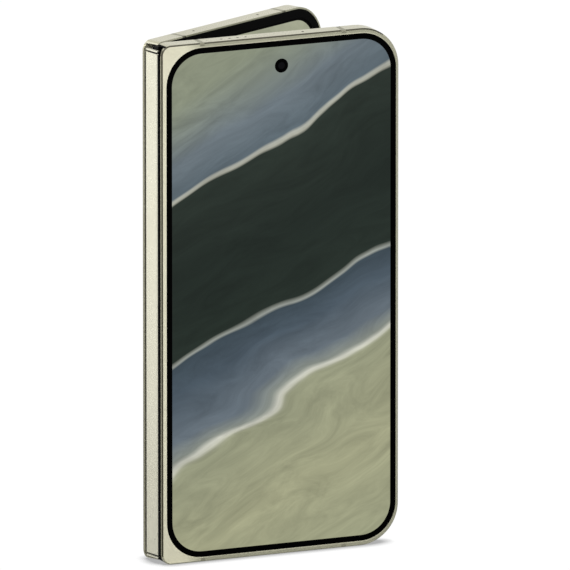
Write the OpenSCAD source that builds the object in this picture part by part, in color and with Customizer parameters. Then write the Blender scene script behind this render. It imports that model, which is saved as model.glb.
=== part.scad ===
// Foldable smartphone, book style, standing on its bottom edge with the hinge at -X.
// The fold's plane of symmetry is XZ. The cover half lies on the -Y side, the main half on
// the +Y side. Each half is drawn in its own coordinates: u runs from its hinge axis to its
// far edge, v from the outer face (-) to the inner face (+), and z is up.

/* [Body] */
// Height of the phone, bottom edge to top edge
body_h = 155.2; // [150:0.1:170]
// Width of one half, hinge edge to far edge
half_w = 75.0; // [73:0.1:84]
// Thickness of one half, outer face to inner bezel
half_t = 5.2; // [5.2:0.05:6]
// Space between the inner bezels when the phone is shut
fold_gap = 0.4; // [0.3:0.05:0.8]
// Angle between the halves as drawn
open_deg = 26.6; // [10:0.1:60]
// Corner radius of a half at the hinge
hinge_corner_r = 3.0; // [2:0.1:5]
// Corner radius of a half at its far edge
far_corner_r = 12.0; // [11.5:0.1:14]
// Side wall of a frame
side_wall = 1.8; // [1.6:0.1:2.2]
// Wall at the top and bottom of the hinge space
end_wall = 0.7; // [0.6:0.1:1]

/* [Screens] */
// Thickness of the cover glass and of the back glass
glass_t = 0.5; // [0.4:0.05:0.55]
// Corner radius of the cover glass
glass_r = 11.1; // [10:0.1:12]
// Frame face left beside the glass at the hinge
rim_hinge = 1.5; // [1.4:0.1:2.5]
// Frame face left beside the glass at the far edge
rim_far = 0.9; // [0.8:0.1:1.5]
// Frame face left above and below the glass
rim_end = 1.4; // [1:0.1:1.6]
// Thickness of the cover display panel
display_t = 0.5; // [0.4:0.05:0.5]
// Black border of the cover display at its sides
border_side = 1.7; // [1.2:0.1:2.5]
// Black border of the cover display at its ends
border_end = 1.9; // [1.2:0.1:2.5]
// Thickness of the folding display
inner_t = 0.7; // [0.6:0.05:0.75]
// Height of the inner bezel above the folding display
lip_h = 0.2; // [0.1:0.05:0.3]
// Frame rim left around the inner bezel
inner_rim = 0.5; // [0.4:0.1:0.8]
// Width of the inner bezel
inner_bezel_w = 2.6; // [2:0.1:4]
// Step of the frame that carries the edge of the folding display
inner_step = 0.6; // [0.4:0.1:0.8]
// Thickness of the plates that carry the folding display
support_t = 0.3; // [0.2:0.05:0.35]
// Thickness of a frame's mid plate
mid_t = 0.4; // [0.3:0.05:0.5]

/* [Hinge] */
// Depth of a half's turning axis below its inner bezel
axis_depth = 1.5; // [1.45:0.05:1.55]
// How far the hinge cover stands proud of the shut halves
hinge_proud = 0.9; // [0.7:0.05:0.95]
// Width of the hinge cover
cover_w = 5.8; // [5.4:0.1:5.9]
// Edge radius of the hinge cover
cover_r = 0.45; // [0.4:0.05:0.6]
// Wall of the hinge cover
cover_t = 0.35; // [0.3:0.05:0.4]
// Length of the hinge cover's side walls, from its back
cover_side = 0.8; // [0.6:0.1:1]
// Space between each end of the hinge assembly and the end of the phone
cover_end = 1.7; // [1.65:0.05:2.5]
// Thickness of a hinge end cap
cap_t = 0.45; // [0.4:0.05:0.8]
// Groove between an end cap and the hinge cover
cap_gap = 0.55; // [0.2:0.05:0.6]
// Running clearance around the hinge cover
run_clear = 0.1; // [0.08:0.01:0.12]
// Play between an arc shoe and its groove
shoe_play = 0.05; // [0.03:0.01:0.08]
// Inner radius of the arc shoes
shoe_r = 1.65; // [1.6:0.01:1.7]
// Thickness of the arc shoes and of the arms
shoe_t = 0.42; // [0.35:0.01:0.45]
// Length of an arc shoe along the hinge
shoe_l = 5; // [3:0.5:7]
// Arc covered by a shoe, from the arm
shoe_deg = 55; // [45:1:60]
// Number of hinge brackets along the spine
bracket_n = 3; // [2:1:5]
// Length of a hinge bracket
bracket_l = 18; // [16:0.5:22]
// Reach of an arm's foot from the turning axis
arm_reach = 12; // [10:0.5:14]
// Distance from the turning axis to the pivot of a wing plate
wing_u = 6; // [5.5:0.1:6.5]
// Tilt of a wing plate when the phone is shut
wing_deg = 12; // [10:0.5:12]
// Half the width of the centre plate under the fold
centre_w = 1.1; // [0.9:0.05:1.15]
// Travel of the centre plate between shut and flat
centre_travel = 1.5; // [1.3:0.05:1.5]
// Gap between the rigid and the bending strips of the folding display
strip_gap = 0.1; // [0.08:0.01:0.15]
// Clearance between the centre plate and the wing plates when flat
fold_clear = 0.55; // [0.5:0.05:0.7]
// Height of a hinge bracket above the back of the hinge cover
bracket_t = 1.0; // [0.8:0.05:1]
// Place of the first hinge bracket, from the end of the hinge assembly
bracket_first = 12; // [8:1:20]
// Diameter of an arm screw's head
arm_screw_d = 1.8; // [1.4:0.1:2]
// Diameter of a bracket screw
bracket_screw_d = 0.88; // [0.7:0.02:0.9]
// Thickness of a friction spring
spring_t = 0.4; // [0.3:0.02:0.42]

/* [Edges and openings] */
// Width of an antenna break
break_w = 1.4; // [0.6:0.1:1.6]
// Depth of an antenna break
break_d = 1.0; // [0.6:0.1:1.1]
// Place of the antenna breaks near the hinge, from the turning axis
break_near = 11.2; // [10:0.1:14]
// Place of the antenna breaks near the far edge, from the turning axis
break_far = 55.9; // [50:0.1:58]
// Diameter of the sound holes in the top edge of the cover half
sound_d = 0.75; // [0.5:0.05:1]
// Spacing of the sound holes
sound_pitch = 2.55; // [1.5:0.05:3]
// First sound hole, from the turning axis
sound_u = 18.3; // [16:0.1:22]
// Number of sound holes
sound_n = 4; // [2:1:5]
// Diameter of a microphone hole
mic_d = 0.8; // [0.5:0.05:1]
// Place of the cover half's microphones, from the turning axis
mic_u = 44.0; // [42:0.1:50]
// Places of the main half's microphones in its top edge, from the turning axis
top_mic_u = [18.3, 47.0];
// Place of the loudspeaker's first hole, from the charging port's middle
speaker_u = 8; // [7:0.1:9]
// Spacing of the loudspeaker's holes
speaker_pitch = 2.2; // [1.8:0.1:2.4]
// Number of the loudspeaker's holes
speaker_n = 5; // [3:1:5]
// Diameter of a loudspeaker hole
speaker_d = 1.1; // [0.8:0.1:1.3]
// Diameter of the selfie camera's lens
selfie_d = 4.2; // [3:0.1:5]
// Depth of the selfie camera's centre below the edge of the glass
selfie_z = 7.5; // [6:0.1:9]
// Diameter of the inner camera's lens
inner_cam_d = 3.6; // [3:0.1:4.5]
// Side of the inner camera's housing
inner_cam_w = 4.8; // [4.4:0.1:5.2]
// Depth of the inner camera's centre below the top edge
inner_cam_drop = 12; // [10:0.5:16]
// Width of the charging port's opening
port_w = 8.34; // [8.34:0.01:8.34]
// Height of the charging port's opening
port_t = 2.56; // [2.56:0.01:2.56]
// Shell of the charging port
port_shell = 0.3; // [0.25:0.01:0.3]
// Depth of the charging port
port_depth = 7.3; // [6:0.1:9]
// Width of the SIM tray
sim_w = 13; // [12.5:0.1:15]
// Thickness of the SIM tray
sim_t = 1.2; // [1:0.1:1.4]
// Length of the SIM tray
sim_l = 15; // [14:0.5:18]
// Place of the SIM tray's middle, from the turning axis
sim_u = 24; // [20:0.5:30]
// Play around sliding parts
slide_play = 0.08; // [0.05:0.01:0.12]

/* [Buttons] */
// Length of the power button
power_l = 10; // [8:0.5:14]
// Height of the power button's middle
power_z = 73; // [65:1:78]
// Length of the volume rocker
volume_l = 19; // [16:0.5:22]
// Height of the volume rocker's middle
volume_z = 96; // [92:1:110]
// Width of the buttons
button_w = 2.0; // [1.6:0.1:2.2]
// How far the buttons stand proud of the frame
button_proud = 0.35; // [0.3:0.05:0.5]
// Travel of the power button
button_travel = 0.25; // [0.2:0.01:0.3]

/* [Cameras] */
// Width of the camera island
island_w = 21; // [20:0.5:23]
// Height of the camera island
island_h = 60; // [55:0.5:62]
// How far the camera island stands proud of the back glass
island_t = 2.0; // [1.5:0.1:2.5]
// Space between the camera island and the far edge, and the top
island_margin = 6; // [5.5:0.1:7]
// Corner radius of the camera island
island_r = 8; // [5:0.5:9]
// Diameter of a lens ring
lens_d = 13; // [12:0.5:13.5]
// Space between the lenses and the edge of the camera island
island_edge = 3.2; // [2.5:0.1:3.4]
// Side of a camera module's housing
module_w = 11; // [9:0.5:12]
// Diameter of the flash
flash_d = 4.4; // [3:0.1:6]

/* [Inside] */
// Thickness of the batteries
battery_t = 2.3; // [1.8:0.1:2.4]
// Thickness of a circuit board
board_t = 0.6; // [0.4:0.1:0.8]
// Height of the cover half's lower board above the bottom edge
low_board_z = 17.5; // [17.5:0.5:20]
// Length of the cover half's lower board
low_board_l = 20; // [16:1:22]
// Length of the cover half's upper board
top_board_l = 14; // [10:1:16]
// Depth of the earpiece below the inside of the top edge
earpiece_l = 12; // [10:0.5:14]
// Lower end of the main board
main_board_z = 84; // [82:1:86]
// Lower end of the main battery
main_battery_z = 20; // [20:1:24]
// Height of a shield can
shield_t = 1.5; // [1.2:0.1:1.6]
// Width of a flexible circuit
flex_w = 5; // [3:0.5:5.5]
// Thickness of a flexible circuit
flex_t = 0.12; // [0.08:0.01:0.14]
// Length of a board connector
plug_l = 3.4; // [2.5:0.1:4]
// Outer diameter of the charging coil
coil_d = 44; // [36:1:46]
// Space kept between the parts inside
part_gap = 0.4; // [0.2:0.05:0.6]

/* [Hidden] */

$fn = 48;
eps = 0.01;          // overlap of cutting shapes
reach = 2;           // how far cutting shapes run past what they cut

// Finishes
champagne = "#D6D0BC";
champagne_light = "#E6E1CF";
black = "#0B0B0A";
dark = "#2A2C2B";
screen = "#8F957F";
steel = "#A7A9A6";
copper = "#B5713E";
amber = "#7A4A1C";
gold = "#C5A25A";
board_green = "#1F3B33";
battery_grey = "#3A3D40";

// Turning axes and the extent of a half in its own coordinates
rest_deg = open_deg / 2;
axis_y = fold_gap / 2 + axis_depth;
meet_gap = 0.1;                              // between the halves when flat
u0 = -axis_y + meet_gap / 2;
u1 = u0 + half_w;
v_out = axis_depth - half_t;
v_in = axis_depth;
h = body_h;

// Layers of a half, from the outer face inwards
v_glass = v_out + glass_t;
v_display = v_glass + display_t;
v_mid = v_display + mid_t;
v_panel = v_in - lip_h;
v_support = v_panel - inner_t;
v_room = v_support - support_t;

// Hinge
back_x = -(axis_y + hinge_proud);            // outer face of the hinge cover
cover_edge = hypot(back_x + cover_r, cover_w / 2 - cover_r - axis_y) + cover_r;
hinge_room_r = cover_edge + run_clear;
shoe_out = shoe_r + shoe_t;
spine_z0 = cover_end;
spine_z1 = h - cover_end;
strip_z0 = end_wall + 0.2;
strip_z1 = h - end_wall - 0.2;
bracket_pitch = (h - 2 * (cover_end + bracket_first) - bracket_l) / (bracket_n - 1);
bracket_z = [for (i = [0:bracket_n - 1]) cover_end + bracket_first + i * bracket_pitch];
cover_shift = 2.5;                           // a cover arm's place in its bracket
main_shift = bracket_l - shoe_l - 2.5;       // a main arm's place in its bracket
spring_shift = [cover_shift - 0.6, main_shift + shoe_l + 0.1];
bracket_side = 0.25;                         // space beside a hinge bracket
bracket_w = cover_w - 2 * (cover_t + bracket_side);
spring_w = bracket_w / 2;
cap_tab_w = 4;                               // the tab of an end cap inside the hinge cover
cap_tab_l = 2.2;
cap_tab_t = 0.9;
fold_share = 1 - rest_deg / 90;              // how far the rest pose is from flat
wing_tilt = wing_deg * fold_share;
wing_v = v_room + support_t / 2;
wing_end = centre_w + fold_clear - axis_y;    // free edge of a wing plate, flat
centre_x = v_room - centre_travel * fold_share;

// Side walls and pockets
pocket_u1 = u1 - side_wall;
screen_u0 = u0 + rim_hinge;
screen_u1 = u1 - rim_far;
selfie_u = (screen_u0 + screen_u1) / 2;
selfie_at = h - rim_end - selfie_z;
island_u1 = u1 - island_margin;
island_z1 = h - island_margin;
island_u = island_u1 - island_w / 2;
island_z = island_z1 - island_h / 2;
lens_gap = (island_h - 2 * island_edge - 3 * lens_d - flash_d) / 3;
lens_z = [for (i = [0:2]) island_z1 - island_edge - lens_d / 2 - i * (lens_d + lens_gap)];
flash_z = island_z1 - island_h + island_edge + flash_d / 2;
module_room = module_w / 2 + 1.5;            // from a lens to what lies beside its module
part_u = arm_reach + 3;                      // where the batteries and boards begin
top_board_z = h - side_wall - earpiece_l - 1 - top_board_l;
board_u1 = island_u - module_room;           // the main board ends beside the rear cameras
inner_cam_u = board_u1 - inner_cam_w / 2 - part_gap;
inner_cam_z = h - inner_cam_drop;
inner_cam_z0 = inner_cam_z - inner_cam_w / 2 - part_gap;
flex_v = v_mid + battery_t + 0.05;
cover_can_w = 12;                            // width of a shield can on a cover half's board
cover_can_u = [part_u + 4, part_u + 4 + cover_can_w + flex_w + 1];
cover_flex_u = part_u + 4 + cover_can_w + 0.5;    // the flexible circuit runs between the cans
port_u = (u0 + u1) / 2;
port_v = v_room - port_t / 2 - port_shell;
button_v = (v_mid + v_room) / 2;
sim_v = (v_mid + v_room) / 2;

// The seat moves the middle of the drawn phone's footprint onto the origin
far_x = u1 * cos(rest_deg) + v_in * sin(rest_deg);
cover_y = -axis_y - u1 * sin(rest_deg) + v_out * cos(rest_deg);
main_y = axis_y + u1 * sin(rest_deg) - v_out * cos(rest_deg);
island_y = axis_y + island_u1 * sin(rest_deg) + (island_t - v_out) * cos(rest_deg);
seat_x = -(back_x + far_x) / 2;
seat_y = -(cover_y + max(main_y, island_y)) / 2;

function hypot(a, b) = sqrt(a * a + b * b);

module seat() translate([seat_x, seat_y, 0]) children();
module cover_half() seat() translate([0, -axis_y, 0]) rotate([0, 0, -rest_deg]) children();
module main_half() seat() mirror([0, 1, 0]) translate([0, -axis_y, 0])
    rotate([0, 0, -rest_deg]) children();

// A flat shape drawn in (u, z), as thick as from va to vb
module slab(va, vb) translate([0, vb, 0]) rotate([90, 0, 0]) linear_extrude(vb - va) children();

// A block given by its ranges in u, v and z
module block(us, vs, zs) translate([us[0], vs[0], zs[0]])
    cube([us[1] - us[0], vs[1] - vs[0], zs[1] - zs[0]]);

// A round bar along v
module peg(u, z, r, va, vb) translate([u, vb, z]) rotate([90, 0, 0]) cylinder(r = r, h = vb - va);

// A rectangle with one radius at the hinge side and another at the far side
module panel(ua, ub, za, zb, ra, rb) {
    um = (ua + ub) / 2;
    translate([ua + ra, za]) square([ub - rb - ua - ra, zb - za]);
    translate([ua, za + ra]) square([um - ua, zb - za - 2 * ra]);
    translate([um, za + rb]) square([ub - um, zb - za - 2 * rb]);
    for (z = [za + ra, zb - ra]) translate([ua + ra, z]) circle(ra);
    for (z = [za + rb, zb - rb]) translate([ub - rb, z]) circle(rb);
}

// The outline of a half, drawn in by d
module outline(d) panel(u0 + d, u1 - d, d, h - d, hinge_corner_r - min(d, 2), far_corner_r - d);

// The outline of the glass, drawn in by d
module glass_outline(d) panel(screen_u0 + d, screen_u1 - d, rim_end + d, h - rim_end - d,
    glass_r - d, glass_r - d);

// A shape that is open to the hinge side and drawn in by d on the others
module open_outline(d) {
    intersection() {
        outline(d);
        translate([wing_u + strip_gap / 2, 0]) square([half_w, h]);
    }
}

// A flexible circuit over a battery, with a connector on the board at each end
module flex(u, za, zb) {
    block([u, u + flex_w], [flex_v, flex_v + flex_t], [za, zb]);
    for (z = [za, zb - plug_l])
        block([u + 0.4, u + flex_w - 0.4], [v_mid + board_t, flex_v], [z, z + plug_l]);
}

// The space for the hinge at the end of a half
module hinge_room() {
    translate([0, 0, end_wall]) cylinder(r = hinge_room_r, h = h - 2 * end_wall);
    block([u0 - reach, 0], [back_x - run_clear, 0], [end_wall, h - end_wall]);
    block([u0 - reach, wing_u + part_gap], [-hinge_room_r / 2, v_in + reach],
        [end_wall, h - end_wall]);
    // the end walls are rounded so that they pass each other while turning
    for (z = [-eps, h - end_wall - eps]) translate([0, 0, z]) difference() {
        translate([u0 - reach, 0, 0]) cube([-u0 + reach, v_in + reach, end_wall + 2 * eps]);
        translate([0, 0, -eps]) cylinder(r = axis_y - meet_gap, h = end_wall + 4 * eps);
    }
}

// The pocket for the battery and boards, on the inner side of the mid plate
module pocket() {
    slab(v_mid, v_room + eps)
        panel(0, pocket_u1, side_wall, h - side_wall, 1, far_corner_r - side_wall);
    slab(v_room, v_panel + eps) outline(inner_rim + inner_step);
    slab(v_panel, v_in + reach) outline(inner_rim);
}

module breaks_at(z0) for (u = [break_near, break_far])
    block([u - break_w / 2, u + break_w / 2], [v_out, v_panel], [z0, z0 + break_d]);

module break_slots() {
    for (z = [0, h - break_d]) for (u = [break_near, break_far])
        block([u - break_w / 2, u + break_w / 2], [v_out - reach, v_in + reach],
            [z == 0 ? -reach : z, z == 0 ? break_d : h + reach]);
}

module half_frame() difference() {
    slab(v_out, v_in) outline(0);
    slab(v_out - reach, v_glass) glass_outline(0);
    pocket();
    hinge_room();
    break_slots();
}

// ---- cover half

module cover_frame() color(champagne) cover_half() difference() {
    half_frame();
    slab(v_glass - eps, v_display) cover_panel_outline(-0.1);
    peg(selfie_u, selfie_at, selfie_d / 2 + part_gap, v_out, v_mid + 1);
    for (i = [0:sound_n - 1]) edge_hole(sound_u + i * sound_pitch, sound_d, h - side_wall - 1);
    edge_hole(mic_u, mic_d, h - side_wall - 1);
    edge_hole(mic_u, mic_d, -1);
    block([sim_u - sim_w / 2 - slide_play, sim_u + sim_w / 2 + slide_play],
        [sim_v - sim_t / 2 - slide_play, sim_v + sim_t / 2 + slide_play],
        [-reach, side_wall + reach]);
}

module edge_hole(u, d, z0) translate([u, button_v, z0]) cylinder(r = d / 2, h = side_wall + 2);

module cover_panel_outline(d) panel(screen_u0 + border_side + d, screen_u1 - border_side - d,
    rim_end + border_end + d, h - rim_end - border_end - d, glass_r - border_side - d,
    glass_r - border_side - d);

module cover_antenna_breaks() color("#A5A48F") cover_half() {
    breaks_at(0);
    breaks_at(h - break_d);
}

module cover_glass() color(black) cover_half() slab(v_out, v_glass - 0.05) glass_outline(0.05);

module cover_adhesive() color(dark) cover_half() slab(v_glass - 0.05, v_glass) difference() {
    glass_outline(0.05);
    glass_outline(1.5);
}

module cover_display() color(screen) cover_half() difference() {
    slab(v_glass + 0.02, v_display - 0.02) cover_panel_outline(0);
    peg(selfie_u, selfie_at, selfie_d / 2 + 0.1, v_out, v_mid);
}

module selfie_camera() color(dark) cover_half() {
    peg(selfie_u, selfie_at, selfie_d / 2, v_glass, v_mid + 1);
    block([selfie_u - 2.6, selfie_u + 2.6], [v_mid + 1, v_room - 0.5],
        [selfie_at - 2.6, selfie_at + 2.6]);
}

module cover_battery() color(battery_grey) cover_half()
    block([part_u, pocket_u1 - 2], [v_mid, v_mid + battery_t],
        [low_board_z + low_board_l + part_gap, top_board_z - part_gap]);

module cover_board() color(board_green) cover_half() {
    for (z = [[low_board_z, low_board_l], [top_board_z, top_board_l]]) {
        block([part_u, pocket_u1 - 12], [v_mid, v_mid + board_t], [z[0], z[0] + z[1]]);
        for (u = cover_can_u) block([u, u + cover_can_w],
            [v_mid + board_t, v_mid + board_t + shield_t], [z[0] + 2, z[0] + z[1] - 2]);
    }
}

module earpiece() color(dark) cover_half() {
    top = h - side_wall - 0.2;
    ub = sound_u + (sound_n - 1) * sound_pitch;
    block([sound_u - 1, ub + 1], [v_mid + 0.1, v_room - 0.1], [top - earpiece_l + 1, top]);
    block([sound_u, ub], [v_mid + 0.4, v_room - 0.4], [top - earpiece_l, top - earpiece_l + 1]);
}

module sim_reader() color(steel) cover_half() difference() {
    block([sim_u - sim_w / 2 - 0.6, sim_u + sim_w / 2 + 0.6], [sim_v - sim_t / 2 - 0.4,
        sim_v + sim_t / 2 + 0.4], [side_wall + 0.4, sim_l + 1.5]);
    block([sim_u - sim_w / 2 - slide_play, sim_u + sim_w / 2 + slide_play],
        [sim_v - sim_t / 2 - slide_play, sim_v + sim_t / 2 + slide_play], [0, sim_l + 0.5]);
}

module sim_tray() color(champagne) cover_half() difference() {
    block([sim_u - sim_w / 2, sim_u + sim_w / 2], [sim_v - sim_t / 2, sim_v + sim_t / 2],
        [0.05, sim_l]);
    block([sim_u - 4.6, sim_u + 4.6], [sim_v - sim_t / 2 + 0.3, v_in], [2.6, sim_l - 1]);
    translate([sim_u + sim_w / 2 - 1.4, sim_v, -1]) cylinder(r = 0.4, h = 2.2);
}

module cover_flex() color(amber) cover_half()
    flex(cover_flex_u, low_board_z + low_board_l - plug_l - 1, top_board_z + plug_l + 1);

// ---- inner side, shared by both halves

module inner_bezel() color(black) slab(v_panel, v_in) difference() {
    open_outline(inner_rim + 0.05);
    panel(-reach, u1 - inner_rim - inner_bezel_w, inner_rim + inner_bezel_w,
        h - inner_rim - inner_bezel_w, 1, far_corner_r - inner_rim - inner_bezel_w);
}

module inner_panel() color(screen) slab(v_support, v_panel)
    open_outline(inner_rim + inner_step + 0.05);

module support_plate() color(steel) slab(v_room, v_support)
    open_outline(inner_rim + inner_step + 0.05);

// Arms: a foot on the mid plate and an arc shoe that turns in a bracket's groove
module arms(shift) color(steel) for (z = bracket_z) translate([0, 0, z + shift]) {
    shoe();
    block([-0.1, 5], [-shoe_out, -shoe_r], [0, shoe_l]);
    block([4, arm_reach], [v_mid, -shoe_r + 0.05], [0, shoe_l]);
}

module shoe() intersection() {
    difference() {
        cylinder(r = shoe_out, h = shoe_l);
        translate([0, 0, -eps]) cylinder(r = shoe_r, h = shoe_l + 2 * eps);
    }
    linear_extrude(shoe_l) polygon([[0, 0], [0.2, -4], [-4 * sin(shoe_deg / 2), -4],
        [-4 * sin(shoe_deg), -4 * cos(shoe_deg)]]);
}

module arm_screws(shift) color(dark) for (z = bracket_z) for (share = [0.6, 0.85])
    peg(share * arm_reach, z + shift + shoe_l / 2, arm_screw_d / 2, -shoe_r + 0.05,
        -shoe_r + 0.45);

// Wing plate with its strip of the folding display, turned about its pivot
module tilted() translate([wing_u, wing_v, 0]) rotate([0, 0, wing_tilt])
    translate([-wing_u, -wing_v, 0]) children();

module wing_plate() color(steel) tilted() {
    block([wing_end, wing_u - strip_gap / 2], [v_room, v_support], [strip_z0, strip_z1]);
}

module wing_strip() color(screen) tilted()
    block([wing_end, wing_u - strip_gap / 2], [v_support, v_panel], [strip_z0, strip_z1]);

module cover_inner_bezel() cover_half() inner_bezel();
module cover_inner_panel() cover_half() inner_panel();
module cover_support_plate() cover_half() support_plate();
module cover_arms() cover_half() arms(cover_shift);
module cover_arm_screws() cover_half() arm_screws(cover_shift);
module cover_wing_plate() cover_half() wing_plate();
module cover_bend_strip() cover_half() wing_strip();
module main_inner_bezel() main_half() inner_bezel();
module main_inner_panel() main_half() difference() {
    inner_panel();
    peg(inner_cam_u, inner_cam_z, inner_cam_d / 2 + 0.1, v_room - 1, v_in);
}
module main_support_plate() main_half() difference() {
    support_plate();
    peg(inner_cam_u, inner_cam_z, inner_cam_d / 2 + 0.1, v_room - 1, v_in);
}
module main_arms() main_half() arms(main_shift);
module main_arm_screws() main_half() arm_screws(main_shift);
module main_wing_plate() main_half() wing_plate();
module main_bend_strip() main_half() wing_strip();

// ---- main half

module main_frame() color(champagne) main_half() difference() {
    half_frame();
    // clearance for the cameras, the port and the coil through the mid plate
    block([island_u - module_room + 0.5, island_u + module_room - 0.5],
        [v_glass - eps, v_mid + eps], [lens_z[2] - module_room + 0.5,
        lens_z[0] + module_room - 0.5]);
    peg(island_u, flash_z, flash_d / 2 + part_gap, v_out, v_mid + eps);
    slab(v_glass - eps, v_display) panel(5, u1 - 3.2, 3.2, h - 3.2, 9, 9);
    block([port_u - port_w / 2 - port_shell, port_u + port_w / 2 + port_shell],
        [port_v - port_t / 2 - port_shell, v_room], [side_wall, port_depth + 1]);
    port_hole(port_shell, -reach, side_wall + reach);
    edge_hole(port_u - speaker_u, mic_d, -1);
    for (i = [0:speaker_n - 1])
        edge_hole(port_u + speaker_u + i * speaker_pitch, speaker_d, -1);
    for (u = top_mic_u) edge_hole(u, mic_d, h - side_wall - 1);
    button_shape(power_l, power_z, slide_play, u1 - side_wall - 1, u1 + 1);
    button_shape(volume_l, volume_z, slide_play + 0.05, u1 - side_wall - 1, u1 + 1);
}

module port_hole(grow, z0, z1) translate([port_u, port_v, z0]) {
    r = port_t / 2 + grow;
    s = port_w / 2 - port_t / 2;
    for (u = [-s, s]) translate([u, 0, 0]) cylinder(r = r, h = z1 - z0);
    translate([-s, -r, 0]) cube([2 * s, 2 * r, z1 - z0]);
}

// A button's outline on the far edge, with round ends, from ua to ub
module button_shape(len, z, grow, ua, ub) {
    r = button_w / 2 + grow;
    s = len / 2 - button_w / 2;
    for (dz = [-s, s]) translate([ua, button_v, z + dz]) rotate([0, 90, 0])
        cylinder(r = r, h = ub - ua);
    block([ua, ub], [button_v - r, button_v + r], [z - s, z + s]);
}

module main_antenna_breaks() color("#A5A48F") main_half() {
    breaks_at(0);
    breaks_at(h - break_d);
}

module island_outline(d) panel(island_u1 - island_w + d, island_u1 - d,
    island_z1 - island_h + d, island_z1 - d, island_r - d, island_r - d);

module back_glass() color("#CFCBB8") main_half() slab(v_out, v_glass - 0.05) difference() {
    glass_outline(0.05);
    island_outline(0.8);
}

module back_adhesive() color(dark) main_half() slab(v_glass - 0.05, v_glass) difference() {
    glass_outline(0.05);
    glass_outline(1.5);
}

module camera_island() color(champagne_light) main_half() difference() {
    union() {
        slab(v_out - island_t, v_out) island_outline(0);
        slab(v_out, v_glass) island_outline(0.9);
    }
    for (z = lens_z) {
        peg(island_u, z, lens_d / 2, v_out - island_t - reach, v_out - island_t + 0.6);
        peg(island_u, z, lens_d / 2 - 1.2, v_out - island_t, v_glass + eps);
    }
    peg(island_u, flash_z, flash_d / 2, v_out - island_t - reach, v_glass + eps);
}

module camera_windows() color(black) main_half() for (z = lens_z)
    peg(island_u, z, lens_d / 2 - 0.05, v_out - island_t + 0.1, v_out - island_t + 0.6);

module rear_camera(i, lens) color(dark) main_half() {
    peg(island_u, lens_z[i], module_w / 2 - 0.6, v_out - island_t + 1, v_mid);
    peg(island_u, lens_z[i], lens, v_out - island_t + 0.7, v_out - island_t + 1);
    block([island_u - module_w / 2, island_u + module_w / 2], [v_mid, v_room - 0.2],
        [lens_z[i] - module_w / 2, lens_z[i] + module_w / 2]);
}

module wide_camera() rear_camera(0, 4.2);
module ultrawide_camera() rear_camera(1, 3.2);
module tele_camera() rear_camera(2, 3.6);

module flash() color("#EDE9C8") main_half()
    peg(island_u, flash_z, flash_d / 2 - 0.05, v_out - island_t + 0.1, v_mid);

module main_battery() color(battery_grey) main_half()
    block([part_u, pocket_u1 - 4.5], [v_mid, v_mid + battery_t],
        [main_battery_z, main_board_z - part_gap]);

module main_board() color(board_green) main_half() {
    difference() {
        block([part_u, board_u1], [v_mid, v_mid + board_t], [main_board_z, h - side_wall - 3]);
        block([inner_cam_u - inner_cam_w / 2 - part_gap, board_u1 + reach],
            [v_mid - eps, v_room], [inner_cam_z0, h]);
    }
    block([part_u, port_u - 6], [v_mid, v_mid + board_t], [5, main_battery_z - part_gap]);
}

module shield_cans() color(steel) main_half() {
    can_z = main_board_z + plug_l + 2;
    can_l = (inner_cam_z0 - 1 - can_z) / 4;
    for (i = [0:3]) block([part_u + 2, board_u1 - 3],
        [v_mid + board_t, v_mid + board_t + shield_t],
        [can_z + i * can_l, can_z + i * can_l + can_l - 2]);
    block([part_u + 2, port_u - 8], [v_mid + board_t, v_mid + board_t + shield_t],
        [7, main_battery_z - part_gap - plug_l - 1.5]);
}

module usb_port() color(steel) main_half() {
    difference() {
        port_hole(port_shell, 0.1, port_depth);
        port_hole(0, 0, port_depth - 0.6);
    }
    block([port_u - 3.3, port_u + 3.3], [port_v - 0.35, port_v + 0.35],
        [1.2, port_depth - 0.6]);
}

module loudspeaker() color(dark) main_half()
    block([port_u + speaker_u - speaker_d / 2 - 1, pocket_u1 - far_corner_r],
        [v_mid + 0.1, v_room - 0.1], [side_wall + 0.2, main_battery_z - part_gap]);

module main_flex() color(amber) main_half()
    flex(part_u + 4, main_battery_z - part_gap - plug_l - 0.5, main_board_z + plug_l + 1);

module vibration_motor() color(steel) main_half()
    block([port_u - 5, port_u + speaker_u - 2], [v_mid, v_room - 0.3],
        [port_depth + 1.5, main_battery_z - part_gap]);

module charging_coil() color(copper) main_half() slab(v_glass + 0.05, v_display - 0.05)
    difference() {
        translate([port_u, h / 2 - 12]) circle(coil_d / 2);
        translate([port_u, h / 2 - 12]) circle(coil_d / 4);
    }

module power_button() color(champagne_light) main_half() {
    button_shape(power_l, power_z, 0, u1 - side_wall - 0.4, u1 + button_proud);
    block([u1 - side_wall - 0.4, u1 - side_wall - 0.05], [button_v - button_w / 2,
        button_v + button_w / 2], [power_z - power_l / 2 - 0.8, power_z + power_l / 2 + 0.8]);
}

module volume_rocker() color(champagne_light) main_half() {
    button_shape(volume_l, volume_z, 0, u1 - side_wall - 0.4, u1 + button_proud);
}

module button_switches() color(gold) main_half() {
    base = u1 - side_wall - 1.2;
    block([base - 0.4, base], [button_v - button_w / 2, button_v + button_w / 2],
        [power_z - power_l / 2, volume_z + volume_l / 2]);
    for (z = [power_z, volume_z - volume_l / 3, volume_z + volume_l / 3])
        translate([base, button_v, z]) rotate([0, 90, 0])
            cylinder(r = 0.4 * button_w, h = 0.8 - button_travel - 0.05);
}

module inner_camera() color(dark) main_half() {
    peg(inner_cam_u, inner_cam_z, inner_cam_d / 2, v_room - 0.5, v_panel - 0.05);
    block([inner_cam_u - inner_cam_w / 2, inner_cam_u + inner_cam_w / 2],
        [v_mid + 0.1, v_room - 0.5],
        [inner_cam_z - inner_cam_w / 2, inner_cam_z + inner_cam_w / 2]);
}

// ---- spine

module cover_profile(d) {
    w = cover_w / 2 - d;
    r = cover_r - min(d, cover_r - 0.1);
    translate([back_x + d, -w + r]) square([cover_side - d, 2 * w - 2 * r]);
    translate([back_x + d + r, -w]) square([cover_side - d - r, 2 * w]);
    for (y = [-w + r, w - r]) translate([back_x + d + r, y]) circle(r);
}

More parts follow.
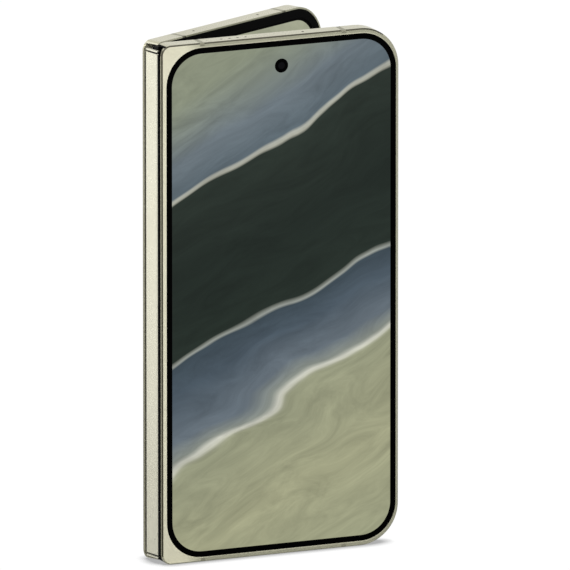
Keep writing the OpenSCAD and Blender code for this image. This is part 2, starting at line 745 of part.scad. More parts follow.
module hinge_cover() color(champagne_light) seat() difference() {
    translate([0, 0, spine_z0 + cap_t + cap_gap])
        linear_extrude(h - 2 * (cover_end + cap_t + cap_gap)) cover_profile(0);
    translate([back_x + cover_t, -cover_w / 2 + cover_t, 0])
        cube([cover_side, cover_w - 2 * cover_t, h]);
    for (z = bracket_z) for (side = [-1, 1])
        translate([back_x + cover_t + 0.02, side > 0 ? 0 : -cover_w, z
            + (side > 0 ? main_shift : cover_shift) - 0.4]) cube([cover_side, cover_w,
            shoe_l + 0.8]);
}

module hinge_end_caps() color(champagne_light) seat()
    for (z = [spine_z0, spine_z1 - cap_t]) {
        translate([0, 0, z]) linear_extrude(cap_t) cover_profile(0);
        translate([back_x + 0.5, -cap_tab_w / 2, z == spine_z0 ? z + cap_t - eps : z - cap_tab_l])
            cube([cap_tab_t, cap_tab_w, cap_tab_l + eps]);
    }

module hinge_brackets() color(dark) seat() for (z = bracket_z) difference() {
    translate([back_x + cover_t, -bracket_w / 2, z]) cube([bracket_t, bracket_w, bracket_l]);
    shoe_groove(-axis_y, z + cover_shift);
    shoe_groove(axis_y, z + main_shift);
    for (dz = [1, bracket_l - 1]) translate([back_x, 0, z + dz]) rotate([0, 90, 0])
        cylinder(r = bracket_screw_d / 2 + 0.01, h = reach + 2);
    for (dz = spring_shift) translate([back_x + cover_t + 0.1, -spring_w / 2 - 0.05, z + dz])
        cube([reach, spring_w + 0.1, spring_t + 0.1]);
}

module shoe_groove(y, z) translate([0, y, z - 0.1]) difference() {
    cylinder(r = shoe_out + 1, h = shoe_l + 0.2);
    translate([0, 0, -eps]) cylinder(r = shoe_r - shoe_play, h = shoe_l + 0.2 + 2 * eps);
}

module bracket_screws() color(steel) seat() for (z = bracket_z) for (dz = [1, bracket_l - 1])
    translate([back_x + cover_t, 0, z + dz]) rotate([0, 90, 0])
        cylinder(r = bracket_screw_d / 2, h = 0.95 * bracket_t);

module friction_springs() color(gold) seat() for (z = bracket_z)
    for (dz = spring_shift) translate([back_x + cover_t + 0.12, -spring_w / 2, z + dz + 0.05])
        cube([0.8 * bracket_t, spring_w, spring_t]);

module centre_plate() color(steel) seat()
    translate([centre_x, -centre_w, strip_z0]) cube([support_t, 2 * centre_w,
        strip_z1 - strip_z0]);

module centre_bend_strip() color(screen) seat()
    translate([centre_x + support_t, -centre_w, strip_z0]) cube([inner_t, 2 * centre_w,
        strip_z1 - strip_z0]);

cover_frame();
cover_antenna_breaks();
cover_glass();
cover_display();
cover_adhesive();
selfie_camera();
cover_battery();
cover_board();
earpiece();
sim_reader();
sim_tray();
cover_inner_bezel();
cover_inner_panel();
cover_support_plate();
cover_arms();
cover_arm_screws();
cover_wing_plate();
cover_bend_strip();
cover_flex();
main_frame();
main_antenna_breaks();
back_glass();
back_adhesive();
camera_island();
camera_windows();
wide_camera();
ultrawide_camera();
tele_camera();
flash();
main_battery();
main_board();
shield_cans();
usb_port();
loudspeaker();
vibration_motor();
charging_coil();
power_button();
volume_rocker();
button_switches();
main_inner_bezel();
main_inner_panel();
main_support_plate();
inner_camera();
main_arms();
main_arm_screws();
main_wing_plate();
main_bend_strip();
main_flex();
hinge_cover();
hinge_end_caps();
hinge_brackets();
bracket_screws();
friction_springs();
centre_plate();
centre_bend_strip();
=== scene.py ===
# %% [markdown]
# # A book-style foldable phone, standing part-open on its bottom edge
#
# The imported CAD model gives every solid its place, so this script only adds what a solid
# can't show: fine chamfers, etched glass, lit screens, lens barrels and soft light.
# Everything is in metres in the CAD's own frame. Sizes below are written in millimetres,
# as a maker would write them, and turned to metres when a piece is placed.

# %% Load the frame
import math

import bmesh
import bpy
from mathutils import Matrix, Vector


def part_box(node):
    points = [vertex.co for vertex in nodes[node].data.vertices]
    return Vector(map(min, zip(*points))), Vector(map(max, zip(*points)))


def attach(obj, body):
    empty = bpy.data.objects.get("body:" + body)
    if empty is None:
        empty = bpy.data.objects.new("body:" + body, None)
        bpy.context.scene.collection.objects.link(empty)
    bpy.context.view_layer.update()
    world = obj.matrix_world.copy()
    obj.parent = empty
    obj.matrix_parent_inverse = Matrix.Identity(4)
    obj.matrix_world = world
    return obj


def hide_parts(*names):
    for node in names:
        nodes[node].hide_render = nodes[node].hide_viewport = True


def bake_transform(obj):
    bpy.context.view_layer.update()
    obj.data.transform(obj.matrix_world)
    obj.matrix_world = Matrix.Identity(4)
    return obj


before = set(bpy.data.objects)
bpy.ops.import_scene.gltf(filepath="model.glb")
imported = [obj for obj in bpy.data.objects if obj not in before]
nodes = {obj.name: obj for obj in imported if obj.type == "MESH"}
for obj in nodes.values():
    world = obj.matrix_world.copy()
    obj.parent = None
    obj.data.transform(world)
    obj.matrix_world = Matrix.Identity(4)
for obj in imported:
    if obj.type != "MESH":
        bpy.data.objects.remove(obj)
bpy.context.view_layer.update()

# %% [markdown]
# ## Two halves, one way of measuring
#
# A point on a half is easiest to name as a watchmaker would: u from the hinge's axis
# towards the far edge, v from the outer face towards the inner face, z up. One matrix per
# half turns that into the row's frame. The main half is the mirror image of the cover half.

# %% Sizes of a half, and its matrix
MM = 0.001
SAME = 0.02                         # places closer than this are taken as one
HEIGHT = 155.2
HALF_W = 75.0
REST = math.radians(13.3)           # each half's angle from the plane of the fold
CORNER_R = 12.0                     # radius of a half's corners at its far edge
AXIS_Y = 1.7                        # from the plane of the fold to a half's turning axis
HINGE_BACK = 2.6                    # from the middle of the hinge to its outer face
U0 = -1.65                          # hinge edge
U1 = U0 + HALF_W                    # far edge
V_OUT, V_IN = -3.7, 1.5             # outer face and inner face
V_PANEL = 1.3                       # surface of the folding display
V_ROOM = 0.3                        # back of the plate that carries it
MIDDLE = Vector(((U0 + U1) / 2, (V_OUT + V_IN) / 2, HEIGHT / 2))
SIDES = {"cover_half": -1, "main_half": 1}   # their sides of the plane of the fold

# the CAD's hinge cover says where the middle of the hinge is
low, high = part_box("hinge_cover")
SEAT = Vector((low[0] / MM + HINGE_BACK, (low[1] + high[1]) / 2 / MM))

HALVES = {}
for body, side in SIDES.items():
    c, s = math.cos(REST), math.sin(REST)
    HALVES[body] = Matrix.Scale(MM, 4) @ Matrix((
        (c, s, 0, SEAT.x),
        (side * s, -side * c, 0, SEAT.y + side * AXIS_Y),
        (0, 0, 1, 0),
        (0, 0, 0, 1)))
SPINE = Matrix.Scale(MM, 4) @ Matrix.Translation((SEAT.x, SEAT.y, 0))
print("far top corner of the cover half", HALVES["cover_half"] @ Vector((U1, V_OUT, HEIGHT)))

# %% [markdown]
# ## Colours and nodes
#
# Colours are written as the sRGB hex values that a person reads off a swatch, and one
# function turns them into the linear values that the renderer works in. A second function
# adds a node with its settings and links, and every material is wired with it.

# %% The colour and node helpers
def rgb(text):
    """The linear colour of an sRGB hex value such as D7D1BE, and a full alpha."""
    parts = [int(text[i:i + 2], 16) / 255 for i in (0, 2, 4)]
    linear = [p / 12.92 if p <= 0.04045 else ((p + 0.055) / 1.055) ** 2.4 for p in parts]
    return linear + [1.0]


def add(tree, kind, settings=None, inputs=None):
    """A new node with its settings, and its inputs set or linked. Returns the node."""
    made = tree.nodes.new("ShaderNode" + kind)
    for name, value in (settings or {}).items():
        setattr(made, name, value)
    for name, value in (inputs or {}).items():
        if isinstance(value, bpy.types.NodeSocket):
            tree.links.new(value, made.inputs[name])
        else:
            made.inputs[name].default_value = value
    return made


def blank(name):
    """A new material with only its output. Returns the material, its tree and its output."""
    made = bpy.data.materials.new(name)
    made.use_nodes = True
    made.node_tree.nodes.clear()
    return made, made.node_tree, add(made.node_tree, "OutputMaterial")


def ramp(tree, factor, stops):
    """A colour ramp over factor, with stops as (place, hex) pairs."""
    made = add(tree, "ValToRGB", None, {"Fac": factor})
    elements = made.color_ramp.elements
    elements.remove(elements[1])
    elements[0].position, elements[0].color = stops[0][0], rgb(stops[0][1])
    for place, text in stops[1:]:
        elements.new(place).color = rgb(text)
    return made


print("mid grey is", round(rgb("808080")[0], 3), "in linear light")

# %% [markdown]
# ## Metal finishes
#
# The frame is aluminium, blasted with fine beads and anodised pale champagne. Blasting
# leaves a grain of about 0.05 mm that scatters light evenly; it is drawn at 0.25 mm here,
# the finest that shows. The edge chamfer is cut after anodising by a diamond tool, so it is
# smooth. Its colour is painted reflection: along the top and the hinge it is painted nearly
# black for the dark it mirrors, and at the foot and the far side it is painted pale as light
# from the floor. All of these are one recipe with other numbers.

# %% A recipe for blasted, brushed or moulded surfaces
NOISE_LOW, NOISE_HIGH = 0.3, 0.7    # most of a noise lies between these
BLOTCH_MM = 18.0                    # how broad the drift between a finish's two tones is
ROUGH_SPREAD = 0.05                 # how far the grain takes the roughness up and down


def surface(name, light, dark, grain_mm, rough, metallic=0.0, bump=0.02, stretch=(1, 1, 1),
            coat=0.0, specular=0.5):
    """A surface whose colour drifts slowly from light to dark, with a fine grain of
    grain_mm in its roughness and relief."""
    made, tree, out = blank(name)
    place = add(tree, "TexCoord").outputs["Object"]
    place = add(tree, "Mapping", None, {"Vector": place, "Scale": stretch}).outputs["Vector"]
    drift = add(tree, "TexNoise", None, {
        "Vector": place, "Scale": 1 / (BLOTCH_MM * MM), "Detail": 2.0, "Roughness": 0.5})
    grain = add(tree, "TexNoise", None, {
        "Vector": place, "Scale": 1 / (grain_mm * MM), "Detail": 1.0, "Roughness": 0.6})
    colour = ramp(tree, drift.outputs["Fac"], ((NOISE_LOW, dark), (NOISE_HIGH, light)))
    uneven = add(tree, "MapRange", None, {
        "Value": grain.outputs["Fac"], "From Min": NOISE_LOW, "From Max": NOISE_HIGH,
        "To Min": rough - ROUGH_SPREAD, "To Max": rough + ROUGH_SPREAD})
    relief = add(tree, "Bump", None, {
        "Height": grain.outputs["Fac"], "Strength": bump, "Distance": grain_mm * MM})
    shader = add(tree, "BsdfPrincipled", None, {
        "Base Color": colour.outputs["Color"], "Metallic": metallic,
        "Roughness": uneven.outputs["Result"], "Normal": relief.outputs["Normal"],
        "Coat Weight": coat, "Coat Roughness": 0.05, "Specular IOR Level": specular})
    tree.links.new(shader.outputs["BSDF"], out.inputs["Surface"])
    return made


BLASTED = surface("bead_blasted_champagne_aluminium", "DFDCC5", "D8D5BC", grain_mm=0.25,
                  rough=0.42, metallic=0.35)
BAND = surface("satin_champagne_aluminium_band", "C5C2AA", "BBB89F", grain_mm=0.3,
               rough=0.28, metallic=0.9)
# painted reflection: one chamfer finish in a dark copy and a pale copy, for the dark and the
# light that it mirrors
CHAMFER_PAINTED_DARK = surface("diamond_cut_chamfer_painted_dark", "423E2B", "363322", grain_mm=0.4,
                  rough=0.3, metallic=0.35, bump=0.0)
STRIP = surface("polished_champagne_spine", "F8F5E0", "F3F0DA", grain_mm=2.0,
                rough=0.30, metallic=0.65, bump=0.0)
ETCHED = surface("etched_champagne_back_glass", "CFCAB6", "C9C4AF", grain_mm=0.2,
                 rough=0.36, metallic=0.1, bump=0.03, coat=0.15)
CHAMFER_PAINTED_LIT = surface("diamond_cut_chamfer_painted_lit", "ADAB95", "A3A18A", grain_mm=0.4,
                      rough=0.3, metallic=0.35, bump=0.0)
BREAK = surface("moulded_antenna_resin", "918F7B", "888672", grain_mm=0.3, rough=0.5)
print("frame finishes made")

# %% [markdown]
# ## A rim with painted shade at its edge
#
# Beside the hinge the frame's face is flat and broad. Round the other three sides it is a
# millimetre wide, and a tone darker is painted along its edge as shade. The finish works out
# how far a point is from the half's rounded outline, the way a distance field does: fold
# the point into one corner, take away the straight part, and measure.

# %% The rolled rim of a half
# painted shade: these set where the rim's colour is painted darker near its outline
EDGE_SHADE_W = 1.3                        # how far in from the outline the rim is darker
EDGE_SHADE_FADE = 0.3                     # half the width of the change between the tones
EDGE_SHADE_FROM, EDGE_SHADE_TO = 6.0, 12.0      # it sets in between these distances from the hinge


def rim_with_painted_edge_shade(name, side, light, shaded, dark):
    """Blasted aluminium with painted shade at the outline of the half on one side."""
    made = surface(name, light, shaded, grain_mm=0.25, rough=0.42, metallic=0.35)
    tree = made.node_tree
    shader = next(node for node in tree.nodes if node.type == "BSDF_PRINCIPLED")
    place = add(tree, "TexCoord").outputs["Object"]
    # the point's u and z on its half
    run = Vector((math.cos(REST), side * math.sin(REST), 0)) / MM
    start = Vector((SEAT.x, SEAT.y + side * AXIS_Y, 0)) * MM
    along = add(tree, "VectorMath", {"operation": "DOT_PRODUCT"}, {0: place, 1: run})
    along = add(tree, "Math", {"operation": "SUBTRACT"}, {
        0: along.outputs["Value"], 1: run.dot(start)}).outputs["Value"]
    height = add(tree, "VectorMath", {"operation": "DOT_PRODUCT"}, {
        0: place, 1: (0, 0, 1 / MM)})
    spot = add(tree, "CombineXYZ", None, {"X": along, "Y": height.outputs["Value"]})
    # folded into one corner, without the straight part, and measured
    spot = add(tree, "VectorMath", {"operation": "SUBTRACT"}, {
        0: spot.outputs["Vector"], 1: (MIDDLE.x, MIDDLE.z, 0)})
    spot = add(tree, "VectorMath", {"operation": "ABSOLUTE"}, {0: spot.outputs["Vector"]})
    spot = add(tree, "VectorMath", {"operation": "SUBTRACT"}, {
        0: spot.outputs["Vector"], 1: (HALF_W / 2 - CORNER_R, HEIGHT / 2 - CORNER_R, 0)})
    spot = add(tree, "VectorMath", {"operation": "MAXIMUM"}, {0: spot.outputs["Vector"]})
    away = add(tree, "VectorMath", {"operation": "LENGTH"}, {0: spot.outputs["Vector"]})
    edge = add(tree, "MapRange", None, {
        "Value": away.outputs["Value"], "From Min": CORNER_R - EDGE_SHADE_W - EDGE_SHADE_FADE,
        "From Max": CORNER_R - EDGE_SHADE_W + EDGE_SHADE_FADE})
    from_hinge = add(tree, "MapRange", None, {
        "Value": along, "From Min": EDGE_SHADE_FROM, "From Max": EDGE_SHADE_TO})
    share = add(tree, "Math", {"operation": "MULTIPLY"}, {
        0: edge.outputs["Result"], 1: from_hinge.outputs["Result"]})
    # the painted shade is mixed into the blasted colour
    flat = shader.inputs["Base Color"].links[0].from_socket
    colour = add(tree, "Mix", {"data_type": "RGBA"}, {
        "Factor": share.outputs["Value"], 6: flat, 7: rgb(dark)})
    tree.links.new(colour.outputs[2], shader.inputs["Base Color"])
    return made


# ACAB94 is the painted shade along each rim's outline
RIMS = {body: rim_with_painted_edge_shade("blasted_rim_with_painted_edge_shade_of_" + body, side, "F0EDD3", "EBE7CC", "ACAB94")
        for body, side in SIDES.items()}
print("rims made")

# %% [markdown]
# ## Blacks, resins and the parts inside
#
# The bezels are a fine matt film, the pouch cells a grey foil with soft creases, the
# boards a solder mask over woven glass cloth. They're mostly hidden, but a phone opened at
# any pose can show an edge of them, so each gets the right class of surface.

# %% The remaining finishes
DRAWN = (1, 1, 0.05)                # rolling draws the grain of a steel out along z

BEZEL_AND_PAINTED_SHADE = surface("matt_black_bezel_film_and_painted_shade", "050505", "030303", grain_mm=0.2, rough=0.5,
                specular=0.02)
HOUSING_AND_PAINTED_SHADE = surface("glass_filled_nylon_housing_and_painted_shade", "1C1D1C", "141514", grain_mm=0.3,
                  rough=0.6, bump=0.05)
FOIL = surface("crinkled_pouch_foil", "55585A", "434648", grain_mm=2.5, rough=0.35,
               metallic=0.6, bump=0.12, stretch=(1, 1, 0.4))
BOARD = surface("solder_masked_laminate", "1E3D34", "18322B", grain_mm=0.4, rough=0.35,
                bump=0.06, coat=0.4)
STEEL = surface("rolled_spring_steel", "A9ABA8", "989A97", grain_mm=0.3, rough=0.32,
                metallic=1.0, bump=0.03, stretch=DRAWN)
BLACKENED = surface("blackened_hinge_steel", "161615", "0E0E0D", grain_mm=0.3, rough=0.55,
                    bump=0.03, stretch=DRAWN, specular=0.15)
COPPER = surface("enamelled_copper_wire", "B9743F", "9C5C2E", grain_mm=0.5, rough=0.3,
                 metallic=0.9, bump=0.15)
BRASS = surface("sprung_phosphor_bronze", "C7A45C", "B08D47", grain_mm=0.3, rough=0.3,
                metallic=1.0)
FILM = surface("amber_polyimide_film", "7F4C1E", "6B3E16", grain_mm=0.6, rough=0.3,
               bump=0.03, coat=0.5)
FOAM = surface("black_foam_adhesive", "151514", "0E0E0D", grain_mm=0.3, rough=0.8, bump=0.2)
DIFFUSER = surface("moulded_flash_diffuser", "F6F3E2", "ECE8D0", grain_mm=0.5, rough=0.2,
                   bump=0.1, coat=0.6)
PHOSPHOR = surface("yellow_led_phosphor", "E9D670", "DDC75C", grain_mm=0.4, rough=0.5,
                   bump=0.05)
BARREL = surface("anodised_black_lens_barrel", "111112", "0A0A0B", grain_mm=0.2,
                 rough=0.35, metallic=0.2)

# %% Dressing the parts that keep the CAD's shape
for coating, names in (
    (HOUSING_AND_PAINTED_SHADE, "earpiece loudspeaker wide_camera ultrawide_camera tele_camera inner_camera "
              "selfie_camera vibration_motor cover_display"),
    (FOIL, "cover_battery main_battery"),
    (BOARD, "cover_board main_board"),
    (STEEL, "sim_reader usb_port shield_cans cover_support_plate main_support_plate "
            "cover_arm_screws main_arm_screws bracket_screws"),
    (BLACKENED, "cover_arms main_arms cover_wing_plate main_wing_plate centre_plate "
                "hinge_brackets"),
    (COPPER, "charging_coil"),
    (BRASS, "friction_springs button_switches"),
    (FILM, "cover_flex main_flex"),
    (FOAM, "cover_adhesive back_adhesive")):
    for name in names.split():
        mesh = nodes[name].data
        mesh.materials.clear()
        mesh.materials.append(coating)
    print(coating.name, "on", names)

# %% [markdown]
# ## Black glass and lens coatings
#
# The cover glass is chemically strengthened glass printed black behind its border. From
# the front only its gloss shows, and that is faint, because an anti-reflective coating
# takes most of it away: the specular level is set low for that. Lens elements have the same
# coating in layers that leave a deep violet tint.

# %% Glass with no pattern of its own
SMUDGE_MM = 9.0                     # how broad a finger's smudge is
SMUDGE_ROUGH = 0.06                 # how much roughness it adds


def gloss(name, text, rough, specular):
    """Smooth dark glass with faint smudges in its roughness."""
    made, tree, out = blank(name)
    place = add(tree, "TexCoord").outputs["Object"]
    smudge = add(tree, "TexNoise", None, {
        "Vector": place, "Scale": 1 / (SMUDGE_MM * MM), "Detail": 3.0})
    uneven = add(tree, "MapRange", None, {
        "Value": smudge.outputs["Fac"], "To Min": rough, "To Max": rough + SMUDGE_ROUGH})
    shader = add(tree, "BsdfPrincipled", None, {
        "Base Color": rgb(text), "Roughness": uneven.outputs["Result"],
        "Specular IOR Level": specular})
    tree.links.new(shader.outputs["BSDF"], out.inputs["Surface"])
    return made


BORDER = gloss("black_printed_cover_glass", "020202", rough=0.08, specular=0.012)
PUPIL = gloss("violet_coated_lens_element", "06060A", rough=0.03, specular=0.05)
WINDOW = gloss("dark_lens_window", "0A0A0C", rough=0.05, specular=0.2)
print("glasses made")

# %% [markdown]
# ## The lit screens
#
# A lit panel gives out its own light, so its picture is an emission colour and the base
# stays black. The picture is a generic one: soft bands of polished stone in slate, sage,
# sand and a green near black, bent by a slow noise. It reads the screen's UV map, in which
# one unit is 100 mm, so it follows the folding display when the phone opens.

# %% The picture of stone bands
GLOW = 0.95                         # a lit panel's strength, where 1 shows colours as written
RUN_SCALE = 0.57                    # a picture's bands take up 100 mm / 0.57, or 175 mm
VEIN_LOW, VEIN_HIGH = 0.80, 1.2     # how far the veins darken and lighten the bands


def lit(name, stops, turn, shift, wave):
    """A lit panel with a picture of bands. stops are the bands' colours along the run,
    turn the run's angle, shift where it starts and wave how far the bands bend."""
    made, tree, out = blank(name)
    place = add(tree, "TexCoord").outputs["UV"]
    slow = add(tree, "TexNoise", None, {
        "Vector": place, "Scale": 1.5, "Detail": 3.0, "Roughness": 0.42, "Distortion": 0.6})
    bent = add(tree, "VectorMath", {"operation": "MULTIPLY_ADD"}, {
        0: slow.outputs["Color"], 1: (wave, wave, 0), 2: place})
    along = add(tree, "Mapping", None, {
        "Vector": bent.outputs["Vector"], "Rotation": (0, 0, turn),
        "Location": (shift, 0, 0), "Scale": (RUN_SCALE, RUN_SCALE, 1)}).outputs["Vector"]
    run = add(tree, "SeparateXYZ", None, {"Vector": along}).outputs["X"]
    bands = ramp(tree, run, stops)
    # fine veins run with the bands, four times as long as they are wide
    vein_place = add(tree, "Mapping", None, {"Vector": along, "Scale": (9, 2.2, 1)})
    veins = add(tree, "TexNoise", None, {
        "Vector": vein_place.outputs["Vector"], "Scale": 3.0, "Detail": 8.0,
        "Roughness": 0.66, "Distortion": 1.2})
    tone = add(tree, "MapRange", None, {
        "Value": veins.outputs["Fac"], "From Min": NOISE_LOW, "From Max": NOISE_HIGH,
        "To Min": VEIN_LOW, "To Max": VEIN_HIGH})
    picture = add(tree, "Mix", {"data_type": "RGBA", "blend_type": "MULTIPLY"}, {
        "Factor": 1.0, 6: bands.outputs["Color"], 7: tone.outputs["Result"]})
    shader = add(tree, "BsdfPrincipled", None, {
        "Base Color": rgb("020202"), "Roughness": 0.12, "Specular IOR Level": 0.08,
        "Emission Color": picture.outputs[2], "Emission Strength": GLOW})
    tree.links.new(shader.outputs["BSDF"], out.inputs["Surface"])
    return made


COVER_PICTURE = lit("lit_cover_display", (
    (0.00, "9C9F82"), (0.20, "A2A384"), (0.335, "979A7F"), (0.342, "D6D6C9"),
    (0.350, "8A9088"), (0.375, "66717A"), (0.43, "4A5762"), (0.470, "3D4A53"),
    (0.474, "B4B8AE"), (0.478, "242E28"), (0.60, "1F2823"), (0.735, "28312B"),
    (0.740, "C9C9BA"), (0.746, "5C6971"), (0.80, "6B767D"), (0.88, "8C937F"),
    (1.0, "93977F")), turn=math.radians(-118), shift=0.16, wave=0.30)
FOLD_PICTURE = lit("lit_folding_display", (
    (0.00, "97997D"), (0.14, "9C9F83"), (0.22, "5B6770"), (0.30, "4C5963"),
    (0.306, "C4C6BA"), (0.312, "27302B"), (0.44, "232C27"), (0.52, "4C5963"),
    (0.58, "8A9084"), (0.70, "999D84"), (1.0, "9DA089")),
    turn=math.radians(-100), shift=0.02, wave=0.26)
print("screens made")

# %% [markdown]
# ## How a piece is made
#
# Most visible pieces start from the CAD's own solid: a copy of its mesh is merged, flat
# faces are joined again, and the edges that a hand would feel get a real bevel. Others
# start from a rounded rectangle or a turned profile. One function then puts a piece in
# place, points its faces outwards, shades it and says which body it rides on.

# %% Copying a solid and finishing a piece
CRISP = math.radians(35)            # faces that meet at more than this keep a crisp edge


def cad_copy(node, matrix):
    """A merged copy of a CAD node's mesh, in the millimetres of matrix, with its flat
    faces joined again."""
    made = bmesh.new()
    made.from_mesh(nodes[node].data)
    made.transform(matrix.inverted())
    if matrix.determinant() < 0:     # the main half is mirrored, which turns faces inside out
        bmesh.ops.reverse_faces(made, faces=made.faces)
    bmesh.ops.remove_doubles(made, verts=made.verts, dist=0.002)
    bmesh.ops.dissolve_limit(made, angle_limit=math.radians(1), verts=made.verts,
                             edges=made.edges)
    made.normal_update()
    return made


def finish(name, made, body, finishes, replaces=(), matrix=None):
    """Turns a bmesh, in a half's millimetres or those of matrix, into a finished piece
    that rides on body."""
    made.transform(matrix or HALVES[body])
    bmesh.ops.remove_doubles(made, verts=made.verts, dist=1e-7)
    bmesh.ops.recalc_face_normals(made, faces=made.faces)
    mesh = bpy.data.meshes.new(name)
    made.to_mesh(mesh)
    made.free()
    for item in finishes:
        mesh.materials.append(item)
    for polygon in mesh.polygons:
        polygon.use_smooth = True
    mesh.set_sharp_from_angle(angle=CRISP)
    piece = bpy.data.objects.new(name, mesh)
    bpy.context.collection.objects.link(piece)
    shade = piece.modifiers.new("even_shading", "WEIGHTED_NORMAL")
    shade.keep_sharp = True
    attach(piece, body)
    if replaces:
        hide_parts(*replaces)
    print(name, len(mesh.polygons), "faces")
    return piece


# %% Softening edges
BEVELLED = math.radians(40)         # only edges that turn more than this are bevelled
FINE = 0.08                         # a bevel that only catches a line of light


def soften(made, width, segments, wanted, finish_index=0):
    """Bevels the sharp edges for which wanted(middle, normals) is true, and gives the new
    faces a finish. Returns how many edges there were."""
    edges = []
    for edge in made.edges:
        if len(edge.link_faces) != 2 or edge.calc_face_angle(0) < BEVELLED:
            continue
        middle = (edge.verts[0].co + edge.verts[1].co) / 2
        if wanted(middle, [face.normal for face in edge.link_faces]):
            edges.append(edge)
    result = bmesh.ops.bevel(made, geom=edges, offset=width, offset_type="OFFSET",
                             segments=segments, profile=0.5, affect="EDGES",
                             clamp_overlap=True, material=-1)
    for face in result["faces"]:
        face.material_index = finish_index
    return len(edges)


def at(v):
    """A test for soften() that takes every sharp edge that lies at v."""
    return lambda middle, normals: abs(middle.y - v) < SAME


def on_outline(middle, normals):
    """True for an edge of a half's own outline: one face looks out through its side."""
    for normal in normals:
        if abs(normal.y) > 0.1:
            continue
        away = Vector((middle.x - MIDDLE.x, 0, middle.z - MIDDLE.z))
        slanted = min(abs(normal.x), abs(normal.z)) > 0.02
        near = min(abs(middle.x - U0), abs(middle.x - U1), abs(middle.z),
                   abs(middle.z - HEIGHT)) < SAME
        if normal.dot(away) > 0 and (near or slanted):
            return True
    return False


def outer_edge(middle, normals):
    """True for an edge between a half's side and its outer face."""
    return abs(middle.y - V_OUT) < SAME and on_outline(middle, normals)


def inner_edge(middle, normals):
    """True for an edge between a half's side and its inner face."""
    return abs(middle.y - V_IN) < SAME and on_outline(middle, normals)


# %% [markdown]
# ## The two frames
#
# Each frame is one milled piece. What the eye reads is three surfaces: a satin band round
# the side, a thin chamfer, and a blasted rim on the face beside the glass. So both edges of
# the copied solid are cut with a finish of their own, and the faces are sorted by which way
# they look. The walls of the sound holes, which no light reaches, are black, and so is the
# cover half's side of the hinge room, where the spine shades it.

# %% Which faces of a frame are which
CHAMFER_W = 0.38
INNER_CHAMFER_W = 0.3
HOLE_WALL = 20                   # the largest wall of a hole, in square millimetres
HOLE_REACH = 1.9                 # how far such a wall can be from the top or bottom edge
WING_U = 6.0                     # where a wing plate of the hinge turns
ROOM_END = WING_U + 0.5          # the hinge room's reach along the half, from the axis
ROOM_R = 2.9                     # and across the half
END_WALL = 0.7                   # the wall above and below the hinge room


def in_a_hole(face):
    """True for the wall of a hole through the top or bottom edge."""
    middle = face.calc_center_median()
    inside = V_OUT + SAME < middle.y < V_IN - SAME and U0 + 1 < middle.x < U1 - 1
    near_end = min(middle.z, HEIGHT - middle.z) < HOLE_REACH
    return inside and near_end and abs(face.normal.z) < 0.1 and face.calc_area() < HOLE_WALL


def in_hinge_room(face):
    """True for a wall of the space that the hinge turns in."""
    middle = face.calc_center_median()
    return (U0 + SAME < middle.x < ROOM_END and abs(middle.y) < ROOM_R
            and END_WALL / 2 < middle.z < HEIGHT - END_WALL / 2)


# %% Both frames and their antenna breaks
RIM, SIDE, PAINTED_DARK_CUT, SHADED, LIT_CUT, PLAIN = range(6)   # the places of a frame's finishes

for body, node, breaks in (("cover_half", "cover_frame", "cover_antenna_breaks"),
                           ("main_half", "main_frame", "main_antenna_breaks")):
    made = cad_copy(node, HALVES[body])
    for face in made.faces:
        face.material_index = SIDE if abs(face.normal.y) < 0.5 else RIM
        # painted shade: hole walls, and the cover half's hinge room, take the black bezel film
        if in_a_hole(face):
            face.material_index = SHADED
        elif in_hinge_room(face):
            face.material_index = SHADED if body == "cover_half" else PLAIN
    outer = soften(made, CHAMFER_W, segments=1, wanted=outer_edge, finish_index=PAINTED_DARK_CUT)
    inner = soften(made, INNER_CHAMFER_W, segments=1, wanted=inner_edge, finish_index=PLAIN)
    print(node, "outer edges cut", outer, "and inner edges", inner)
    # painted light: the chamfer at the foot and the far side takes the pale copy, as if the
    # floor's light reached it
    for face in made.faces:
        if face.material_index == PAINTED_DARK_CUT and (face.normal.z < -0.1 or face.normal.x > 0.4):
            face.material_index = LIT_CUT
    finish(node + "_shell", made, body,
           (RIMS[body], BAND, CHAMFER_PAINTED_DARK, BEZEL_AND_PAINTED_SHADE, CHAMFER_PAINTED_LIT, BLASTED),
           (node,))
    made = cad_copy(breaks, HALVES[body])
    soften(made, CHAMFER_W, segments=1, wanted=outer_edge)
    finish(breaks + "_resin", made, body, (BREAK,), (breaks,))

# %% [markdown]
# ## The cover glass and its lit area
#
# The glass is a rounded rectangle, 0.45 mm thick, with a fine ground edge. An inset of the
# front face makes the lit area, so its border is exact geometry and stays crisp however
# close the camera comes. UVs are laid out in units of 100 mm.

# %% Rounded rectangles and their UVs
UV_MM = 100                         # one unit of a screen's UV map


def rounded(ua, ub, za, zb, v, radius, steps, only_far=False):
    """A bmesh with one rounded rectangle in a half's u and z."""
    made = bmesh.new()
    corners = [made.verts.new((u, v, z)) for u, z in ((ua, za), (ub, za), (ub, zb), (ua, zb))]
    made.faces.new(corners)
    soft = corners[1:3] if only_far else corners
    bmesh.ops.bevel(made, geom=soft, offset=radius, offset_type="OFFSET", segments=steps,
                    profile=0.5, affect="VERTICES", clamp_overlap=True, material=-1)
    return made


def lay_uv(made):
    """UVs from a half's u and z."""
    layer = made.loops.layers.uv.new("screen")
    for face in made.faces:
        for loop in face.loops:
            loop[layer].uv = (loop.vert.co.x / UV_MM, loop.vert.co.z / UV_MM)


# %% Cover glass
RIM_HINGE, RIM_FAR, RIM_END = 1.5, 0.9, 1.4  # frame left beside, and above and below
PLAY = 0.05                                 # between the glass and the frame
GLASS = (U0 + RIM_HINGE + PLAY, U1 - RIM_FAR - PLAY,
         RIM_END + PLAY, HEIGHT - RIM_END - PLAY)   # hinge side, far side, bottom, top
GLASS_R = 11.05
GLASS_T = 0.45
GROUND_EDGE = 0.12
BORDER_W = 1.7

